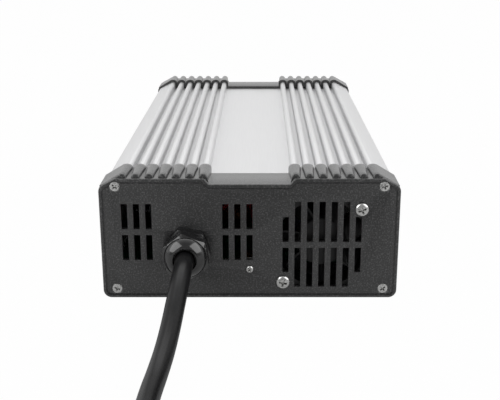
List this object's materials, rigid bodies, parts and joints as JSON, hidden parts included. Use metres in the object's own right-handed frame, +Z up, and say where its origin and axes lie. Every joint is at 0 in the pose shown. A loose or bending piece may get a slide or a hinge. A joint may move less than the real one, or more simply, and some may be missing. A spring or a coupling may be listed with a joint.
{
  "type": "battery charger",
  "caption": "Fan-cooled battery charger: finned aluminium case, moulded end caps with tapering ribs, vent grille, cable gland with coiled output lead.",
  "frame": {"origin": "bottom centre of the case, on the surface that it stands on", "axes": "+Z up, +Y from the front end with the fan and the output lead to the rear end with the mains inlet, +X to the right when the front end is looked at"},
  "size_m": [0.179, 0.5358, 0.0675],
  "materials": {
    "cap_plastic": "fine-grained dark grey moulding",
    "brushed_aluminium": "satin anodised extrusion",
    "heat_sink_metal": "plain extruded",
    "screw_steel": "bright zinc",
    "connector_metal": "satin nickel",
    "gland_nylon": "black, slight gloss",
    "seal_rubber": "matt",
    "cable_jacket": "smooth, slight gloss",
    "fan_plastic": "black",
    "copper_winding": "enamelled copper",
    "board_laminate": "green solder mask",
    "ferrite": "dull dark grey",
    "winding_tape": "yellow tape",
    "capacitor_sleeve": "shrunk sleeve",
    "component_epoxy": "moulded epoxy",
    "film_yellow": "moulded case",
    "fuse_glass": "clear",
    "plated_brass": "nickel-plated",
    "green_lens": "tinted clear",
    "red_lens": "tinted clear",
    "red_insulation": "wire insulation",
    "black_insulation": "wire insulation",
    "brown_insulation": "wire insulation",
    "blue_insulation": "wire insulation",
    "green_yellow_insulation": "wire insulation"
  },
  "bodies": {
    "case": {"case_shell": "brushed_aluminium", "front_end_cap": "cap_plastic", "rear_end_cap": "cap_plastic", "front_screw_1": "screw_steel", "front_screw_2": "screw_steel", "front_screw_3": "screw_steel", "front_screw_4": "screw_steel", "rear_screw_1": "screw_steel", "rear_screw_2": "screw_steel", "rear_screw_3": "screw_steel", "rear_screw_4": "screw_steel", "fan_screw_1": "screw_steel", "fan_screw_2": "screw_steel", "panel_screw": "screw_steel", "board_bracket": "screw_steel", "gland_body": "gland_nylon", "gland_dome_nut": "gland_nylon", "gland_locknut": "gland_nylon", "gland_seal": "seal_rubber", "connector_boot": "seal_rubber", "output_lead": "cable_jacket", "lead_coil": "cable_jacket", "connector_shell": "connector_metal", "connector_insert": "gland_nylon", "inlet_body": "gland_nylon", "inlet_pin_line": "plated_brass", "inlet_pin_neutral": "plated_brass", "inlet_pin_earth": "plated_brass", "charge_light": "green_lens", "power_light": "red_lens", "light_board": "board_laminate", "circuit_board": "board_laminate", "fan_frame": "fan_plastic", "fan_stator": "copper_winding", "heat_sink_left": "heat_sink_metal", "heat_sink_right": "heat_sink_metal", "transistor_left_1": "component_epoxy", "transistor_left_2": "component_epoxy", "transistor_right_1": "component_epoxy", "transistor_right_2": "component_epoxy", "transformer_core": "ferrite", "transformer_winding": "winding_tape", "bulk_capacitor_1": "capacitor_sleeve", "bulk_capacitor_2": "capacitor_sleeve", "output_capacitor_1": "capacitor_sleeve", "output_capacitor_2": "capacitor_sleeve", "output_capacitor_3": "capacitor_sleeve", "output_inductor": "copper_winding", "mains_filter_choke": "copper_winding", "film_capacitor": "film_yellow", "output_relay": "component_epoxy", "fuse": "fuse_glass", "positive_wire": "red_insulation", "negative_wire": "black_insulation", "fan_lead": "black_insulation", "light_lead": "black_insulation", "line_wire": "brown_insulation", "neutral_wire": "blue_insulation", "earth_wire": "green_yellow_insulation"},
    "rotor": {"fan_rotor": "fan_plastic"}
  },
  "joints": [
    {"name": "fan_spin", "type": "hinge", "parent": "case", "child": "rotor", "pos_m": [0.0372, -0.13, 0.029], "axis": [0, 1, 0], "continuous": true}
  ]
}
